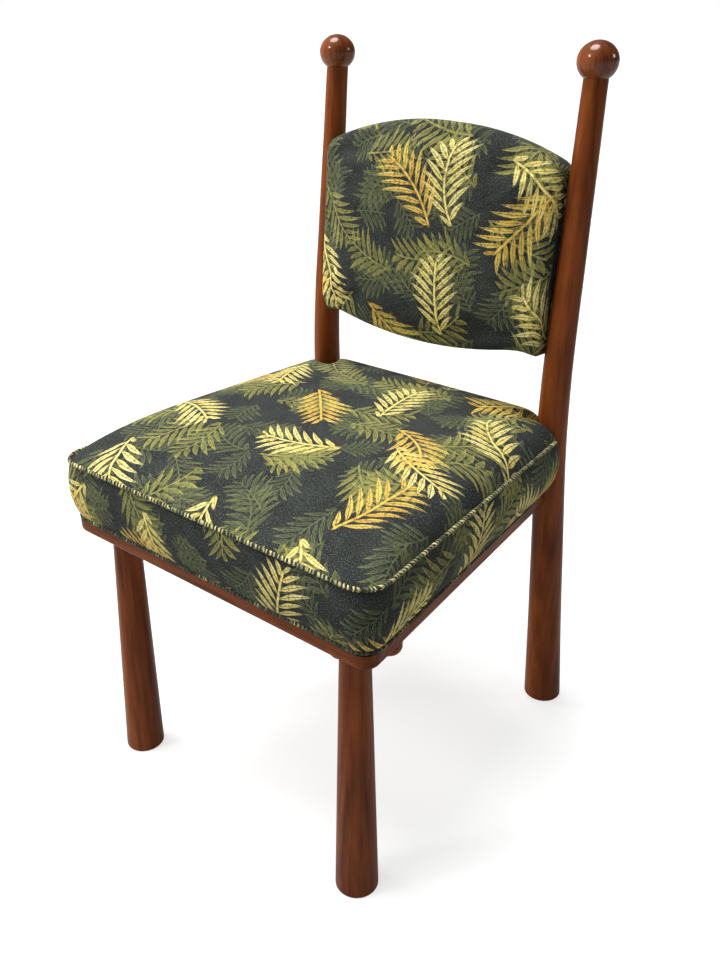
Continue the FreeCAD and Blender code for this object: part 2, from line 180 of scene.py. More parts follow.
def spread(points, marks, count):
    """Even points along a closed outline, the same number in each run between its marks."""
    total = len(points)
    even = []
    for i, start in enumerate(marks):
        stop = marks[(i + 1) % len(marks)]
        if stop <= start:
            stop += total
        run = [points[k % total] for k in range(start, stop + 1)]
        reach = [0.0]
        for a, b in zip(run, run[1:]):
            reach.append(reach[-1] + (b - a).length)
        k = 0
        for j in range(count):
            want = reach[-1] * j / count
            while reach[k + 1] < want:
                k += 1
            even.append(run[k].lerp(run[k + 1], (want - reach[k]) / (reach[k + 1] - reach[k])))
    return even


def offset(outline, reach):
    """A closed outline that runs anticlockwise, moved outward by a reach, or inward where it is negative."""
    moved = []
    for i, point in enumerate(outline):
        along = outline[(i + 1) % len(outline)] - outline[i - 1]
        moved.append(point + flat(along.y, -along.x).normalized() * reach)
    return moved


def raised(outline, height):
    """The points of a plan at a height."""
    return [Vector((p.x, p.y, height)) for p in outline]


def running_length(outline):
    """Lengths along a closed outline, with the whole length last."""
    lengths = [0.0]
    for i in range(len(outline)):
        lengths.append(lengths[-1] + (outline[(i + 1) % len(outline)] - outline[i]).length)
    return lengths


def panel_grid(bm, layer, outline, count, place):
    """Quad panel filling an outline of four runs, laid out by its plan; returns its rim in the same order.

    The place of a vertex comes from its plan point and its grid coordinates, which run from -1 to 1."""
    verts = bmesh.ops.create_grid(bm, x_segments=count, y_segments=count, size=1.0)["verts"]
    total = len(outline)
    middle = sum(outline, flat(0, 0)) / total
    plan = {}
    rim = [None] * total
    for vert in verts:
        grid_s, grid_t = vert.co.x, vert.co.y
        ring = max(abs(grid_s), abs(grid_t))
        if ring < NEARLY:
            plan[vert] = middle
            vert.co = place(middle, 0.0, 0.0)
            continue
        s, t = grid_s / ring, grid_t / ring
        if t <= -1 + NEARLY:
            where = (s + 1) / 2
        elif s >= 1 - NEARLY:
            where = 1 + (t + 1) / 2
        elif t >= 1 - NEARLY:
            where = 2 + (1 - s) / 2
        else:
            where = 3 + (1 - t) / 2
        spot = where * count
        low = math.floor(spot + NEARLY)
        edge = outline[low % total].lerp(outline[(low + 1) % total], max(0.0, spot - low))
        plan[vert] = middle.lerp(edge, ring)
        vert.co = place(plan[vert], grid_s, grid_t)
        if ring > 1 - NEARLY:
            rim[round(spot) % total] = vert
    for face in bm.faces:
        for loop in face.loops:
            loop[layer].uv = plan[loop.vert]
    return rim


def next_ring(bm, ring, places):
    """Extrude a closed ring of vertices to new places and return the new ring in the same order."""
    edges = [bm.edges.get((ring[i - 1], ring[i])) for i in range(len(ring))]
    made = bmesh.ops.extrude_edge_only(bm, edges=edges)["geom"]
    fresh = {item for item in made if isinstance(item, bmesh.types.BMVert)}
    new = []
    for vert, place in zip(ring, places):
        partner = next(e.other_vert(vert) for e in vert.link_edges if e.other_vert(vert) in fresh)
        partner.co = place
        new.append(partner)
    return new


def close_ring(bm, ring):
    """Close a ring with a hidden flat face, cut into triangles."""
    face = bmesh.ops.contextual_create(bm, geom=ring)["faces"][0]
    bmesh.ops.triangulate(bm, faces=[face], ngon_method="BEAUTY")


def band_map(bm, layer, upper, lower, upper_map, lower_map):
    """Lay out the cells between two rings; the layouts have one more point than the rings, to close."""
    count = len(upper)
    for i in range(count):
        j = (i + 1) % count
        spots = {
            upper[i]: upper_map[i],
            upper[j]: upper_map[i + 1],
            lower[i]: lower_map[i],
            lower[j]: lower_map[i + 1],
        }
        face = bm.faces.get((upper[i], upper[j], lower[j], lower[i]))
        for loop in face.loops:
            loop[layer].uv = spots[loop.vert]


def closed_map(outline):
    """Layout of a closed outline, with its first point again at the end."""
    return [(p.x, p.y) for p in outline + outline[:1]]


def level_map(lengths, level):
    """Layout of a band's edge: the running length by a level."""
    return [(run, level) for run in lengths]


def put_in_order(bm):
    """Sort edges and faces by their vertices, so that the cloth swells alike on every run."""
    bm.verts.index_update()
    count = len(bm.verts)

    def rank(item):
        place = 0
        for index in sorted(v.index for v in item.verts)[:3]:
            place = place * count + index
        return place

    bm.edges.sort(key=rank)
    bm.faces.sort(key=rank)


def finished_mesh(bm, name, material):
    """Object at the origin from a closed mesh, with its faces outward and smooth."""
    put_in_order(bm)
    bmesh.ops.recalc_face_normals(bm, faces=bm.faces)
    for face in bm.faces:
        face.smooth = True
    mesh = bpy.data.meshes.new(name)
    bm.to_mesh(mesh)
    bm.free()
    mesh.materials.append(material)
    piece = bpy.data.objects.new(name, mesh)
    bpy.context.scene.collection.objects.link(piece)
    return piece


def padded_mesh(bm, name, held):
    """Cover of printed cloth from a closed mesh, with the numbers of the vertices that are held."""
    bm.verts.index_update()
    numbers = [v.index for v in held]
    return finished_mesh(bm, name, shared_material("printed_cloth", cloth_material)), numbers


FILLING_PRESSURE = 4.0
SWELL_FRAMES = 20


def swell(piece, held, limit):
    """Let the filling press a cover outward while its seams are held, and keep the form that it takes."""
    scene = bpy.context.scene
    group = piece.vertex_groups.new(name="held")
    group.add(held, 1.0, "REPLACE")
    cloth = piece.modifiers.new("swell", "CLOTH")
    cloth.settings.quality = 6
    cloth.settings.mass = 0.3
    cloth.settings.tension_stiffness = 25
    cloth.settings.compression_stiffness = 25
    cloth.settings.shear_stiffness = 12
    cloth.settings.bending_stiffness = 2.0
    cloth.settings.vertex_group_mass = group.name
    cloth.settings.use_pressure = True
    cloth.settings.uniform_pressure_force = FILLING_PRESSURE
    cloth.settings.effector_weights.gravity = 0
    cloth.collision_settings.use_collision = False
    cloth.point_cache.frame_start = 1
    cloth.point_cache.frame_end = SWELL_FRAMES
    for moment in range(1, SWELL_FRAMES + 1):
        scene.frame_set(moment)
    view = bpy.context.evaluated_depsgraph_get()
    swollen = piece.evaluated_get(view).to_mesh()
    moved = [v.co.copy() for v in swollen.vertices]
    piece.evaluated_get(view).to_mesh_clear()
    piece.modifiers.remove(cloth)
    piece.vertex_groups.clear()
    scene.frame_set(1)
    normals = [v.normal.copy() for v in piece.data.vertices]
    for vert, place, normal in zip(piece.data.vertices, moved, normals):
        step = place - vert.co
        step -= normal * min(0.0, step.dot(normal))
        if step.length > limit:
            step *= limit / step.length
        vert.co += step


def fit(piece, node):
    """Smooth a cloth piece and put it on the frame in the place of a node."""
    smooth = piece.modifiers.new("smooth", "SUBSURF")
    smooth.levels = 1
    smooth.render_levels = 1
    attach(piece, "root")
    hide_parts(node)


def level_cut(node, point, normal):
    """Ordered points where a plane cuts the outer skin of a frame node."""
    bm = bmesh.new()
    bm.from_mesh(nodes[node].data)
    bmesh.ops.remove_doubles(bm, verts=bm.verts, dist=NEARLY)
    geom = bm.verts[:] + bm.edges[:] + bm.faces[:]
    cut = bmesh.ops.bisect_plane(bm, geom=geom, dist=EXACTLY, plane_co=point, plane_no=normal)["geom_cut"]
    links = {}
    for item in cut:
        if isinstance(item, bmesh.types.BMEdge):
            a, b = item.verts
            links.setdefault(a, []).append(b)
            links.setdefault(b, []).append(a)
    longest = []
    while links:
        loop = [next(iter(links))]
        ahead = loop
        while ahead:
            ahead = [v for v in links.pop(loop[-1]) if v in links]
            loop += ahead[:1]
        longest = max(longest, loop, key=len)
    points = [v.co.copy() for v in longest]
    bm.free()
    return points


def post_level(side, height):
    """Centre and radius of a rear post at a height."""
    points = level_cut("rear_post_" + side, Vector((0, 0, height)), Vector((0, 0, 1)))
    low_x, high_x = min(p.x for p in points), max(p.x for p in points)
    low_y, high_y = min(p.y for p in points), max(p.y for p in points)
    return flat((low_x + high_x) / 2, (low_y + high_y) / 2), (high_x - low_x) / 2


POST_LIP = 0.006


def clear_of_post(outline, centre, reach):
    """Draw an outline in around a post that stands at its corner, with soft lips beside the post."""
    hand = 1 if centre.x > 0 else -1
    inward = flat(-hand, -1).normalized()
    across = flat(hand, -1).normalized()
    drawn = []
    for point in outline:
        away = point - centre
        depth = away.dot(inward)
        aside = away.dot(across)
        if abs(aside) < reach:
            edge = math.sqrt(reach ** 2 - aside ** 2)
            ease = max(POST_LIP - abs(depth - edge), 0) / POST_LIP
            deep = max(depth, edge) + ease ** 2 * POST_LIP / 4
            point = centre + inward * deep + across * aside
        drawn.append(point)
    return drawn


def feed(tree, node, inputs):
    """Give a node its inputs, each a value or a socket to link."""
    for key, value in inputs.items():
        if isinstance(value, bpy.types.NodeSocket):
            tree.links.new(value, node.inputs[key])
        else:
            node.inputs[key].default_value = value


def add(tree, kind, inputs=None, **settings):
    """Add a shader node with its settings and inputs."""
    node = tree.nodes.new(kind)
    for name, value in settings.items():
        setattr(node, name, value)
    feed(tree, node, inputs or {})
    return node


def calc(tree, operation, *values):
    """Result of a Math node."""
    return add(tree, "ShaderNodeMath", dict(enumerate(values)), operation=operation).outputs[0]


def arithmetic(tree):
    """Functions that add nodes for a product, a sum and a difference."""
    return (partial(calc, tree, operation) for operation in ("MULTIPLY", "ADD", "SUBTRACT"))


def mixed(tree, factor, first, second, mode="MIX"):
    """Result of mixing two colours."""
    node = add(tree, "ShaderNodeMix", {0: factor, 6: first, 7: second}, data_type="RGBA", blend_type=mode)
    return node.outputs[2]


def ramped(tree, value, low, high, to_low=0.0, to_high=1.0):
    """Result of a clamped Map Range node."""
    inputs = {"Value": value, "From Min": low, "From Max": high, "To Min": to_low, "To Max": to_high}
    return add(tree, "ShaderNodeMapRange", inputs).outputs[0]


def noise(tree, place, scale, detail):
    """Result of a Noise Texture node."""
    return add(tree, "ShaderNodeTexNoise", {"Vector": place, "Scale": scale, "Detail": detail}).outputs["Fac"]


def point_of(tree, *values):
    """Vector joined from its parts."""
    return add(tree, "ShaderNodeCombineXYZ", dict(enumerate(values))).outputs[0]


def parts_of(tree, vector):
    """Parts of a vector."""
    return add(tree, "ShaderNodeSeparateXYZ", {0: vector}).outputs


def raised_by(tree, height, strength, distance):
    """Normal of a surface with a fine relief."""
    inputs = {"Height": height, "Strength": strength, "Distance": distance}
    return add(tree, "ShaderNodeBump", inputs).outputs[0]


def solid(value):
    """Four channels from a colour property."""
    return (*value, 1.0)


def new_group(name, inputs, outputs):
    """Empty shader node group with named sockets; returns it with its input and output sockets."""
    group = bpy.data.node_groups.new(name, "ShaderNodeTree")
    for label, kind, default in inputs:
        socket = group.interface.new_socket(label, in_out="INPUT", socket_type=kind)
        if default is not None:
            socket.default_value = default
    for label, kind in outputs:
        group.interface.new_socket(label, in_out="OUTPUT", socket_type=kind)
    source = group.nodes.new("NodeGroupInput")
    sink = group.nodes.new("NodeGroupOutput")
    return group, source.outputs, sink.inputs


def wood_figure_group():
    """Grain of wood: long streaks, broad clouds and fine dark pores."""
    name = "Wood figure"
    if name in bpy.data.node_groups:
        return bpy.data.node_groups[name]
    group, given, result = new_group(
        name,
        [
            ("Vector", "NodeSocketVector", None),
            ("Light", "NodeSocketColor", (0.3, 0.1, 0.03, 1)),
            ("Dark", "NodeSocketColor", (0.1, 0.03, 0.01, 1)),
        ],
        [("Color", "NodeSocketColor"), ("Roughness", "NodeSocketFloat"), ("Height", "NodeSocketFloat")],
    )
    times, plus, minus = arithmetic(group)
    streak = noise(group, given["Vector"], scale=130.0, detail=5.0)
    cloud = noise(group, given["Vector"], scale=26.0, detail=2.0)
    pore = noise(group, given["Vector"], scale=620.0, detail=2.0)
    blend = plus(times(streak, 0.55), times(cloud, 0.45))
    tone = mixed(group, ramped(group, blend, low=0.34, high=0.66), given["Dark"], given["Light"])
    pits = ramped(group, pore, low=0.60, high=0.72, to_high=0.22)
    group.links.new(mixed(group, pits, tone, given["Dark"], "MULTIPLY"), result["Color"])
    group.links.new(ramped(group, streak, 0.3, 0.7, to_low=0.40, to_high=0.30), result["Roughness"])
    group.links.new(minus(streak, pits), result["Height"])
    return group


def sprig_cells(tree, spot):
    """Voronoi node that scatters one sprig in each cell of the cloth."""
    inputs = {"Vector": spot, "Scale": 1.0, "Randomness": 0.35}
    return add(tree, "ShaderNodeTexVoronoi", inputs, voronoi_dimensions="2D", feature="F1")


def sprig_lots(tree, cell):
    """Three random numbers of a sprig: its turn, its bow and whether it is kept."""
    return add(tree, "ShaderNodeSeparateColor", {0: cell.outputs["Color"]}).outputs


def turned_about(tree, vector, angle):
    """Vector turned in the plane of the cloth."""
    inputs = {"Vector": vector, "Angle": angle}
    return add(tree, "ShaderNodeVectorRotate", inputs, rotation_type="Z_AXIS").outputs[0]


def moved_by(tree, operation, first, second):
    """Sum or difference of two vectors."""
    return add(tree, "ShaderNodeVectorMath", {0: first, 1: second}, operation=operation).outputs[0]


# How far the seed moves the cells, and how far chance differs from cell to cell and leaf to leaf
SEED_ALONG = 7.31
SEED_ACROSS = 3.17
LOT_STEP = 97.0
SAME_LOT = 0.0001
# The form of a sprig, in widths of its cell
STEM_HALF = 0.31
STEM_EDGE = 0.011
STEM_CORE = 0.006
STEM_END = 0.03
STEM_BOW = 1.7
LEAF_CURL = 0.9
LEAST_LEAF = 0.0001
# The length of a leaf, in shares of the sprig's reach
STEM_ARCH = 0.45
FOOT_LEAF = 1.15
TIP_LOSS = 0.4
SHORT_LEAF = 0.75
CHANCE_LEAF = 0.35
# The form of a leaf, in steps from one leaf to the next
LEAF_STAGGER = 0.25
LEAF_EDGE = 0.05
RIB_EDGE = 0.055
RIB_CORE = 0.025
LINE_EDGE = 0.15
LINE_CORE = 0.09
HALF_EDGE = 0.02
# The form of a leaf, in shares of its length
LEAF_TAPER = 1.8
LEAF_NECK = 0.14
NECK_SPREAD = 2.4
VEIN_COUNT = 8.0
VEIN_SLANT = -5.0
VEIN_EDGE = 0.35
VEIN_CORE = 0.8
# The paint of a leaf: what its rib and veins leave out or draw, and what makes it paler
RIB_GAP = 0.9
VEIN_GAP = 0.55
VEIN_LINE = 0.5
PALE_CHANCE = 0.45
PALE_TIP = 0.35
PALE_HALF = 0.30


def sprig_group():
    """Scattered sprigs: a bowed stem with pairs of slender veined leaves, each leaf whole within its cell."""
    name = "Leaf sprigs"
    if name in bpy.data.node_groups:
        return bpy.data.node_groups[name]
    group, given, result = new_group(
        name,
        [
            ("Vector", "NodeSocketVector", None),
            ("Cell", "NodeSocketFloat", 0.1),
            ("Seed", "NodeSocketFloat", 1.0),
            ("Pitch", "NodeSocketFloat", 0.08),
            ("Reach", "NodeSocketFloat", 0.25),
            ("Sweep", "NodeSocketFloat", 1.0),
            ("Plump", "NodeSocketFloat", 0.8),
            ("Keep", "NodeSocketFloat", 0.8),
            ("Fill", "NodeSocketFloat", 1.0),
        ],
        [("Mask", "NodeSocketFloat"), ("Shade", "NodeSocketFloat")],
    )
    times, plus, minus = arithmetic(group)
    maths = partial(calc, group)
    ramp = partial(ramped, group)
    seed, pitch, sweep, fill = given["Seed"], given["Pitch"], given["Sweep"], given["Fill"]

    # The sprig's own axes: along its bowed stem and aside from it
    scale = maths("DIVIDE", 1.0, given["Cell"])
    scaled = add(group, "ShaderNodeVectorMath", {0: given["Vector"], "Scale": scale}, operation="SCALE")
    nudge = point_of(group, times(seed, SEED_ALONG), times(seed, SEED_ACROSS))
    spot = moved_by(group, "ADD", scaled.outputs[0], nudge)
    cell = sprig_cells(group, spot)
    centre = cell.outputs["Position"]
    lots = sprig_lots(group, cell)
    turn = times(lots[0], 2 * math.pi)
    axes = parts_of(group, turned_about(group, moved_by(group, "SUBTRACT", spot, centre), turn))
    along = axes[0]
    bow = times(minus(lots[1], 0.5), STEM_BOW)
    aside = minus(axes[1], times(bow, times(along, along)))
    across = maths("ABSOLUTE", aside)
    side = maths("SIGN", aside)

    # The leaf at this spot, and the place of its root on the stem
    swept = minus(along, times(sweep, across))
    swept = plus(swept, times(LEAF_CURL, times(across, across)))
    stagger = times(side, LEAF_STAGGER)
    steps = plus(maths("DIVIDE", swept, pitch), stagger)
    index = maths("FLOOR", steps)
    slant = minus(minus(steps, index), 0.5)
    phase = maths("ABSOLUTE", slant)
    root = times(minus(plus(index, 0.5), stagger), pitch)

    # The length of the leaf, by its stage on the stem and by chance
    stage = maths("DIVIDE", plus(root, STEM_HALF), 2 * STEM_HALF)
    arch = times(times(stage, minus(1.0, stage)), 4.0)
    arch = maths("POWER", maths("MAXIMUM", arch, 0.0), STEM_ARCH)
    slim = minus(FOOT_LEAF, times(stage, TIP_LOSS))
    draw = point_of(group, plus(index, times(lots[0], LOT_STEP)), side)
    chance = add(group, "ShaderNodeTexWhiteNoise", {"Vector": draw}, noise_dimensions="2D").outputs["Value"]
    ragged = plus(SHORT_LEAF, times(chance, CHANCE_LEAF))
    size = times(given["Reach"], times(ragged, times(arch, slim)))

    # A leaf is drawn only where its tip lies in the same cell
    tip_along = plus(root, times(size, minus(sweep, times(LEAF_CURL, size))))
    tip_bow = times(bow, times(tip_along, tip_along))
    tip = point_of(group, tip_along, plus(times(side, size), tip_bow))
    tip = turned_about(group, tip, times(turn, -1.0))
    tip_lots = sprig_lots(group, sprig_cells(group, moved_by(group, "ADD", tip, centre)))
    whole = maths("COMPARE", tip_lots[0], lots[0], SAME_LOT)

    # The leaf painted full, with its rib and veins left out, or drawn in lines
    far = maths("DIVIDE", across, maths("MAXIMUM", size, LEAST_LEAF))
    taper = minus(1.0, maths("POWER", far, LEAF_TAPER))
    neck = maths("MINIMUM", 1.0, plus(LEAF_NECK, times(far, NECK_SPREAD)))
    width = times(times(given["Plump"], 0.5), times(taper, neck))
    edge = minus(width, phase)
    inside = ramp(edge, 0.0, LEAF_EDGE)
    rib = times(ramp(phase, RIB_EDGE, RIB_CORE), inside)
    comb = plus(times(far, VEIN_COUNT), times(phase, VEIN_SLANT))
    veins = ramp(maths("SINE", times(comb, 2 * math.pi)), VEIN_EDGE, VEIN_CORE)
    gaps = maths("MAXIMUM", times(rib, RIB_GAP), times(veins, VEIN_GAP))
    painted = times(inside, minus(1.0, gaps))
    line = times(inside, ramp(edge, LINE_EDGE, LINE_CORE))
    drawn = maths("MAXIMUM", maths("MAXIMUM", line, rib), times(veins, times(inside, VEIN_LINE)))
    leaf = plus(times(painted, fill), times(drawn, minus(1.0, fill)))
    leaf = times(leaf, whole)

    stem = ramp(across, STEM_EDGE, STEM_CORE)
    stem = times(stem, ramp(maths("ABSOLUTE", along), STEM_HALF, STEM_HALF - STEM_END))
    keep = maths("GREATER_THAN", given["Keep"], lots[2])
    group.links.new(times(maths("MAXIMUM", leaf, stem), keep), result["Mask"])
    half = times(ramp(slant, -HALF_EDGE, HALF_EDGE), PALE_HALF)
    shade = plus(times(chance, PALE_CHANCE), times(far, PALE_TIP))
    group.links.new(plus(shade, half), result["Shade"])
    return group


def cloth_ground_group():
    """Ground of the cloth: dark and clouded, with pale flecks of painted glint standing in for light on the
    tips of its pile, and the pile's height.
    """
    name = "Cloth ground"
    if name in bpy.data.node_groups:
        return bpy.data.node_groups[name]
    group, given, result = new_group(
        name,
        [
            ("Vector", "NodeSocketVector", None),
            ("Ground", "NodeSocketColor", (0.03, 0.04, 0.05, 1)),
            ("Pile glint", "NodeSocketColor", (0.15, 0.16, 0.14, 1)),
        ],
        [("Color", "NodeSocketColor"), ("Height", "NodeSocketFloat")],
    )
    times, plus, _ = arithmetic(group)
    cloud = noise(group, given["Vector"], scale=34.0, detail=3.0)
    fleck = noise(group, given["Vector"], scale=640.0, detail=2.0)
    pile = noise(group, given["Vector"], scale=1500.0, detail=1.0)
    deep = mixed(group, ramped(group, cloud, 0.35, 0.65), (0.75, 0.75, 0.78, 1), (1.25, 1.25, 1.2, 1))
    tone = mixed(group, 1.0, given["Ground"], deep, "MULTIPLY")
    # Painted glint: pale flecks of the pile colour stand in for light catching the tips of the pile; the same
    # noise also raises the pile's relief.
    painted_pile_glint = ramped(group, fleck, low=0.54, high=0.68, to_high=0.55)
    group.links.new(mixed(group, painted_pile_glint, tone, given["Pile glint"]), result["Color"])
    group.links.new(plus(times(fleck, 0.6), times(pile, 0.4)), result["Height"])
    return group


def new_material(name):
    """Empty material; returns it with its tree and its shader."""
    material = bpy.data.materials.new(name)
    material.use_nodes = True
    return material, material.node_tree, material.node_tree.nodes["Principled BSDF"]


def shared_material(name, make):
    """A material by name, made on first use."""
    return bpy.data.materials.get(name) or make()


def wood_figure(tree, stretch, light, dark):
    """Wood figure on a piece, drawn out along its grain."""
    place = add(tree, "ShaderNodeTexCoord").outputs["Object"]
    mapped = add(tree, "ShaderNodeMapping", {"Vector": place, "Scale": stretch}).outputs[0]
    inputs = {"Vector": mapped, "Light": solid(light), "Dark": solid(dark)}
    return add(tree, "ShaderNodeGroup", inputs, node_tree=wood_figure_group()).outputs


GRAIN_STRETCH = 0.07


def wood_material(name, grain, polish, softness=0.08):
    """Satin lacquer over reddish wood whose grain runs along one axis, with a share of polish."""
    finish = bpy.context.scene.chair_finishes
    material, tree, shader = new_material(name)
    stretch = [1.0, 1.0, 1.0]
    stretch["XYZ".index(grain)] = GRAIN_STRETCH
    figure = wood_figure(tree, stretch, finish.wood_light, finish.wood_dark)
    feed(tree, shader, {
        "Base Color": figure["Color"],
        "Roughness": figure["Roughness"],
        "Normal": raised_by(tree, figure["Height"], strength=0.05, distance=0.001),
        "Specular IOR Level": 0.05,
        "Coat Weight": polish,
        "Coat Roughness": softness,
    })
    return material


def birch_material():
    """Bare pale plywood and dowels inside the upholstery."""
    finish = bpy.context.scene.chair_finishes
    material, tree, shader = new_material("bare_birch")
    figure = wood_figure(tree, (0.1, 1.0, 1.0), finish.birch_light, finish.birch_dark)
    feed(tree, shader, {"Base Color": figure["Color"], "Roughness": 0.65})
    return material


def steel_material():
    """Burnished dark screws, bolts and nuts."""
    finish = bpy.context.scene.chair_finishes
    material, tree, shader = new_material("burnished_steel")
    dull = noise(tree, add(tree, "ShaderNodeTexCoord").outputs["Object"], scale=300.0, detail=3.0)
    feed(tree, shader, {
        "Base Color": mixed(tree, dull, solid(finish.steel_dark), solid(finish.steel_light)),
        "Roughness": ramped(tree, dull, 0.3, 0.7, to_low=0.28, to_high=0.45),
        "Metallic": 1.0,
    })
    return material


# The layers of the print, from the farthest to the nearest: tint, then a value for each name
SPRIG_VALUES = ("Cell", "Seed", "Pitch", "Reach", "Sweep", "Plump", "Keep", "Fill")
SPRIG_LAYERS = (
    ("dim", 0.085, 1.0, 0.100, 0.34, 0.95, 0.95, 1.00, 0.0),
    ("dim", 0.105, 6.4, 0.092, 0.32, 1.05, 0.95, 1.00, 0.0),
    ("dim", 0.120, 4.2, 0.090, 0.30, 0.90, 0.95, 1.00, 0.3),
    ("olive", 0.128, 2.3, 0.090, 0.28, 0.90, 0.92, 1.00, 0.35),
    ("olive", 0.148, 8.9, 0.084, 0.27, 1.00, 0.92, 0.85, 0.7),
    ("yellow", 0.168, 3.7, 0.080, 0.26, 1.00, 0.92, 0.78, 1.0),
    ("gold", 0.182, 5.1, 0.076, 0.25, 1.10, 0.92, 0.68, 1.0),
)


def cloth_ground(tree, place):
    """Ground of the cloth on a piece."""
    finish = bpy.context.scene.chair_finishes
    inputs = {"Vector": place, "Ground": solid(finish.ground), "Pile glint": solid(finish.pile)}
    return add(tree, "ShaderNodeGroup", inputs, node_tree=cloth_ground_group()).outputs


def print_colours(tree, place):
    """Cloth colour with its layers of sprigs, and the height of its pile."""
    finish = bpy.context.scene.chair_finishes
    tints = {
        "dim": (finish.dim, finish.dim_light),
        "olive": (finish.olive, finish.olive_light),
        "yellow": (finish.yellow, finish.cream),
        "gold": (finish.gold, finish.yellow),
    }
    ground = cloth_ground(tree, place)
    brush = noise(tree, place, scale=210.0, detail=3.0)
    dry = ramped(tree, brush, low=0.34, high=0.50, to_low=0.35)
    tone = ground["Color"]
    for label, *values in SPRIG_LAYERS:
        inputs = {"Vector": place, **dict(zip(SPRIG_VALUES, values))}
        layer = add(tree, "ShaderNodeGroup", inputs, node_tree=sprig_group()).outputs
        shaded, lit = tints[label]
        stroke = mixed(tree, layer["Shade"], solid(shaded), solid(lit))
        tone = mixed(tree, calc(tree, "MULTIPLY", layer["Mask"], dry), tone, stroke)
    return tone, ground["Height"]


def cloth_material():
    """Printed velvety cloth laid out by the cover's own map."""
    material, tree, shader = new_material("printed_cloth")
    tone, height = print_colours(tree, add(tree, "ShaderNodeUVMap", uv_map="cloth").outputs[0])
    feed(tree, shader, {
        "Base Color": tone,
        "Normal": raised_by(tree, height, strength=0.35, distance=0.0006),
        "Roughness": 0.82,
        "Specular IOR Level": 0.06,
        "Sheen Weight": 0.03,
        "Sheen Roughness": 0.45,
    })
    return material


DASH_PITCH = 0.0056
DASH_SLANT = 0.45
DASH_DRIFT = 0.011
DASH_FADE = 0.16


def cord_material(name, plain):
    """The same cloth cut on the bias round a cord, with winding dashes where it isn't plain."""
    finish = bpy.context.scene.chair_finishes
    material, tree, shader = new_material(name)
    times, plus, _ = arithmetic(tree)
    place = add(tree, "ShaderNodeUVMap", uv_map="cloth").outputs[0]
    axes = parts_of(tree, place)
    run = point_of(tree, axes[0])
    patch = noise(tree, run, scale=34.0, detail=3.0)
    hue = noise(tree, run, scale=47.0, detail=1.0)
    drift = noise(tree, run, scale=110.0, detail=1.0)
    wound = plus(axes[0], times(axes[1], DASH_SLANT))
    wound = plus(wound, times(drift, DASH_DRIFT))
    wave = calc(tree, "SINE", times(wound, 2 * math.pi / DASH_PITCH))
    shown = ramped(tree, patch, plain, plain + DASH_FADE, to_low=0.10, to_high=0.80)
    mask = times(ramped(tree, wave, 0.0, 0.5), shown)
    dash = mixed(tree, ramped(tree, hue, 0.40, 0.62), solid(finish.dash), solid(finish.cream))
    ground = cloth_ground(tree, place)
    feed(tree, shader, {
        "Base Color": mixed(tree, mask, ground["Color"], dash),
        "Normal": raised_by(tree, ground["Height"], strength=0.3, distance=0.0005),
        "Roughness": 0.8,
        "Specular IOR Level": 0.06,
    })
    return material


FRAME_FRONT_HALF = 0.250
FRAME_REAR_HALF = 0.204
BOXING_RISES = (0.95, 0.88, 0.80, 0.71, 0.62, 0.53, 0.44, 0.35, 0.26, 0.18, 0.11, 0.05, 0.01)
BOARD_GAP = 0.0006
RECESS_INSET = 0.0118
RECESS_LEVELS = (0.10, 0.11)
HIP_EASE = 0.029
HIP_WIDTH = 0.06
HIP_FADE = 0.1
ROLL_REACH = 0.14
POST_FADE = 0.04


def seat_outline(seat, up, height, room):
    """Outline of the cushion clear of the posts, from its foot on the frame, at 0, to its seam, at 1."""
    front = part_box("front_rail")[0].y + seat.foot_inset
    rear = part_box("rear_rail")[1].y - seat.foot_inset
    wide = FRAME_FRONT_HALF - seat.foot_inset
    narrow = FRAME_REAR_HALF - seat.foot_inset
    front += (-seat.seam_front - front) * up
    rear += (seat.seam_rear - rear) * up
    wide += (seat.seam_front_half - wide) * up
    narrow += (seat.seam_rear_half - narrow) * up
    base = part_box("side_rail_left")[1].z
    rise = (height - base) / (seat.seam_height - base)
    bulge = seat.boxing_bulge * 4 * rise * (1 - rise)
    wide, narrow, front, rear = wide + bulge, narrow + bulge, front - bulge, rear + bulge
    radius = seat.foot_radius + (seat.seam_radius - seat.foot_radius) * up
    corners = [flat(-wide, front), flat(wide, front), flat(narrow, rear), flat(-narrow, rear)]
    points, middles = rounded_loop(corners, radius)
    for side in SIDES:
        centre, post_radius = post_level(side, height)
        points = clear_of_post(points, centre, post_radius + room)
    return spread(points, middles, seat.panel_cells)


def crowned_top(seat, seam):
    """Place of the seat's top: steep at the sides and rear, soft at the front, rolled out over its seam."""
    middle = sum(seam, flat(0, 0)) / len(seam)
    posts = [post_level(side, seat.seam_height) for side in SIDES]

    def place(point, s, t):
        front, rear = max(0.0, -t), max(0.0, t)
        far, near = max(abs(s), rear), min(abs(s), rear)
        hip = HIP_EASE * min(1.0, (1 - far) / HIP_FADE) * math.exp(-((far - near) / HIP_WIDTH) ** 2)
        rise = (1 - (far * (1 + hip)) ** seat.crown_fullness) * (1 - front ** seat.front_fullness)
        room = min((point - centre).length - radius for centre, radius in posts)
        fade = min(1.0, max(0.0, room / POST_FADE))
        roll = seat.top_roll * fade * math.sin(math.pi * min(1.0, (1 - max(far, front)) / ROLL_REACH))
        point = point + (point - middle).normalized() * roll
        return Vector((point.x, point.y, seat.seam_height + seat.crown * rise))

    return place


